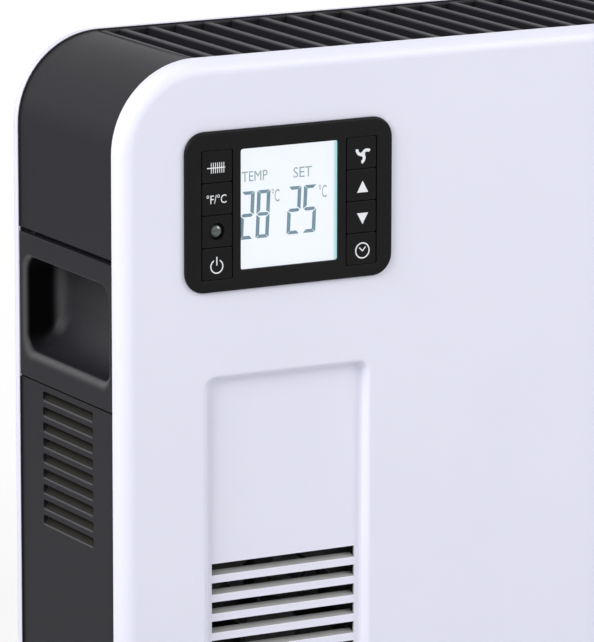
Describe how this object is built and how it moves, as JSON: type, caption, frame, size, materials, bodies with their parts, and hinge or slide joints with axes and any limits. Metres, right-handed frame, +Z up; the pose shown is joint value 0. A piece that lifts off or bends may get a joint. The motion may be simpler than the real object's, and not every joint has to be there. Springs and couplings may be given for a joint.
{
  "type": "electric panel convector heater",
  "caption": "Slim white panel heater on a black frame, with a display panel, side grips, louvred fan outlets and a finned top outlet.",
  "frame": {"origin": "middle of the footprint, on the surface that the heater stands on", "axes": "+X to the right seen from the front, along the body's width; +Y from the front face to the wall; +Z up"},
  "size_m": [0.64, 0.126, 0.4],
  "materials": {
    "white_paint": "smooth semi-gloss white powder coat with a faint cool cast",
    "black_plastic": "fine satin moulded black",
    "panel_black": "satin black bezel",
    "key_black": "satin black keys with pale printed symbols",
    "grey_plastic": "heat-resistant dark grey moulding",
    "clear_plastic": "clear display window",
    "display": "backlit display, pale blue-white",
    "smoked_plastic": "smoked infrared lens",
    "board_green": "green circuit board with black and white components",
    "aluminium": "plain rolled aluminium",
    "galvanised": "galvanised sheet",
    "ceramic": "unglazed white ceramic",
    "zinc": "zinc-plated screw"
  },
  "bodies": {
    "body": {"front_panel": "white_paint", "back_panel": "white_paint", "top_grille": "black_plastic", "bottom_tray": "black_plastic", "upper_cheek_left": "black_plastic", "upper_cheek_right": "black_plastic", "grip_left": "black_plastic", "grip_right": "black_plastic", "lower_cheek_left": "black_plastic", "lower_cheek_right": "black_plastic", "cord_gland": "black_plastic", "back_screw_upper_left": "zinc", "back_screw_upper_right": "zinc", "back_screw_lower_left": "zinc", "back_screw_lower_right": "zinc", "back_screw_top": "zinc", "back_screw_bottom": "zinc", "bezel": "panel_black", "receiver_plate": "key_black", "receiver_lens": "smoked_plastic", "display_window": "clear_plastic", "display_module": "display", "control_board": "board_green", "chassis": "galvanised", "fan_shroud_left": "grey_plastic", "fan_shroud_right": "grey_plastic", "fan_motor_left": "galvanised", "fan_motor_right": "galvanised", "element_bracket_left": "galvanised", "element_bracket_right": "galvanised", "heating_element_lower": "aluminium", "heating_element_upper": "aluminium", "element_bush_lower_left": "ceramic", "element_bush_lower_right": "ceramic", "element_bush_upper_left": "ceramic", "element_bush_upper_right": "ceramic", "power_board": "board_green", "thermal_cutout": "ceramic", "terminal_block": "black_plastic", "room_sensor": "grey_plastic"},
    "heat_key": {"heat_key": "key_black"},
    "unit_key": {"unit_key": "key_black"},
    "power_key": {"power_key": "key_black"},
    "fan_key": {"fan_key": "key_black"},
    "up_key": {"up_key": "key_black"},
    "down_key": {"down_key": "key_black"},
    "timer_key": {"timer_key": "key_black"},
    "impeller_left": {"impeller_left": "grey_plastic"},
    "impeller_right": {"impeller_right": "grey_plastic"}
  },
  "joints": [
    {"name": "heat_key_press", "type": "slide", "parent": "body", "child": "heat_key", "axis": [0, 1, 0], "range_m": [0, 0.0006], "stiffness_N_per_m": 800},
    {"name": "unit_key_press", "type": "slide", "parent": "body", "child": "unit_key", "axis": [0, 1, 0], "range_m": [0, 0.0006], "stiffness_N_per_m": 800},
    {"name": "power_key_press", "type": "slide", "parent": "body", "child": "power_key", "axis": [0, 1, 0], "range_m": [0, 0.0006], "stiffness_N_per_m": 800},
    {"name": "fan_key_press", "type": "slide", "parent": "body", "child": "fan_key", "axis": [0, 1, 0], "range_m": [0, 0.0006], "stiffness_N_per_m": 800},
    {"name": "up_key_press", "type": "slide", "parent": "body", "child": "up_key", "axis": [0, 1, 0], "range_m": [0, 0.0006], "stiffness_N_per_m": 800},
    {"name": "down_key_press", "type": "slide", "parent": "body", "child": "down_key", "axis": [0, 1, 0], "range_m": [0, 0.0006], "stiffness_N_per_m": 800},
    {"name": "timer_key_press", "type": "slide", "parent": "body", "child": "timer_key", "axis": [0, 1, 0], "range_m": [0, 0.0006], "stiffness_N_per_m": 800},
    {"name": "impeller_left_spin", "type": "hinge", "parent": "body", "child": "impeller_left", "pos_m": [-0.225, 0, 0.09702], "axis": [0, 1, 0], "continuous": true},
    {"name": "impeller_right_spin", "type": "hinge", "parent": "body", "child": "impeller_right", "pos_m": [0.225, 0, 0.09702], "axis": [0, 1, 0], "continuous": true}
  ]
}
